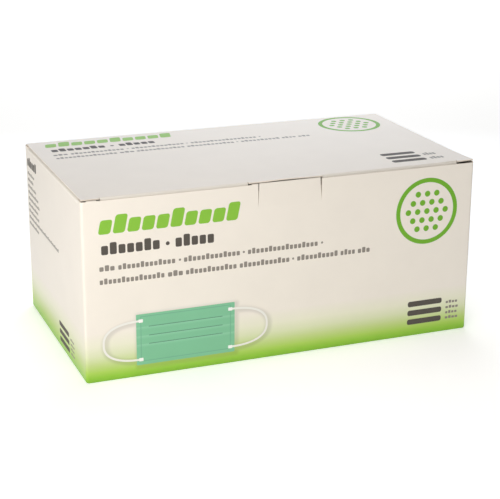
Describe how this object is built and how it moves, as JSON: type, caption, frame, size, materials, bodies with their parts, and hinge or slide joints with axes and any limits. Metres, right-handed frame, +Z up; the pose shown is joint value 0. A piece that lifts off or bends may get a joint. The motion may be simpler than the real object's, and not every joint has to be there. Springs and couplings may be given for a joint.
{
  "type": "face mask carton",
  "caption": "Closed folding carton for face masks: creased board walls, glued bottom, back-hinged tuck lid with dust flaps, and a lock tab cut from the front wall.",
  "frame": {"origin": "middle of the carton's foot, on the surface it stands on", "axes": "+X along the carton's length, to the right seen from the front; +Y from the front wall to the back wall, where the lid hinges; +Z up"},
  "size_m": [0.18, 0.1, 0.08],
  "materials": {
    "printed_board": "satin varnish",
    "plain_board": "satin varnish",
    "raw_board": "uncoated",
    "green_ink": "satin varnish",
    "grey_ink": "satin varnish",
    "cloth_green_ink": "satin varnish",
    "white_ink": "satin varnish"
  },
  "bodies": {
    "carton": {"carton_walls": "printed_board", "bottom_panel": "printed_board", "bottom_flap_left": "raw_board", "bottom_flap_right": "raw_board"},
    "lid": {"lid_panel": "printed_board"},
    "tuck": {"tuck_flap": "plain_board"},
    "left_dust_flap": {"dust_flap_left": "plain_board"},
    "right_dust_flap": {"dust_flap_right": "plain_board"},
    "tab": {"lock_tab": "printed_board"}
  },
  "joints": [
    {"name": "lid_hinge", "type": "hinge", "parent": "carton", "child": "lid", "pos_m": [0, 0.04975, 0.07975], "axis": [-1, 0, 0], "range_deg": [0, 180]},
    {"name": "tuck_crease", "type": "hinge", "parent": "lid", "child": "tuck", "pos_m": [0, -0.04893, 0.07863], "axis": [-1, 0, 0], "range_deg": [0, 45]},
    {"name": "left_dust_crease", "type": "hinge", "parent": "carton", "child": "left_dust_flap", "pos_m": [-0.0888, 0, 0.07895], "axis": [0, -1, 0], "range_deg": [0, 108]},
    {"name": "right_dust_crease", "type": "hinge", "parent": "carton", "child": "right_dust_flap", "pos_m": [0.0888, 0, 0.07895], "axis": [0, 1, 0], "range_deg": [0, 108]},
    {"name": "tab_crease", "type": "hinge", "parent": "carton", "child": "tab", "pos_m": [0.0013, -0.04975, 0.069], "axis": [1, 0, 0], "range_deg": [0, 90]}
  ],
  "couplings": [
    {"joint": "tuck_crease", "follows": "lid_hinge", "ratio": 0.25},
    {"joint": "left_dust_crease", "follows": "lid_hinge", "ratio": 0.6},
    {"joint": "right_dust_crease", "follows": "lid_hinge", "ratio": 0.6}
  ]
}
